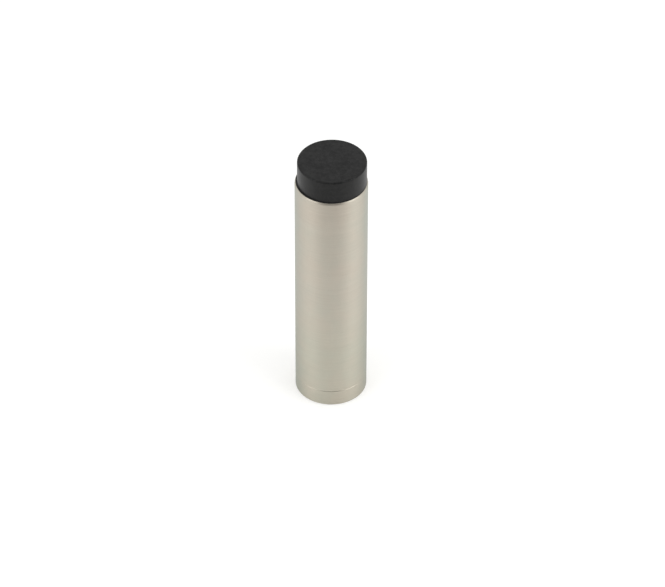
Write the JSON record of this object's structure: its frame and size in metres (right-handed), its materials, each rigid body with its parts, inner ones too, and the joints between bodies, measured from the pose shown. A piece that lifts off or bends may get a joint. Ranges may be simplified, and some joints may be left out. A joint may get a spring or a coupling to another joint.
{
  "type": "wall door stop",
  "caption": "Plain cylindrical wall door stop: a satin nickel barrel that screws on to a flush wall base, with a flat black rubber buffer on its end.",
  "frame": {"origin": "centre of the base's wall face", "axes": "+Z along the stop's axis, from the wall to the buffer; +X to the side where the buffer's head sits 0.18 mm off centre; the picture is taken along +Y"},
  "size_m": [0.02, 0.02, 0.08],
  "materials": {
    "satin_nickel": "satin nickel plate, brushed round the axis",
    "black_rubber": "matt moulded rubber"
  },
  "bodies": {
    "base": {"wall_base": "satin_nickel"},
    "barrel": {"barrel": "satin_nickel", "rubber_buffer": "black_rubber"}
  },
  "joints": [
    {"name": "barrel_unscrew", "type": "slide", "parent": "base", "child": "barrel", "axis": [0, 0, 1], "range_m": [0, 0.015]}
  ]
}
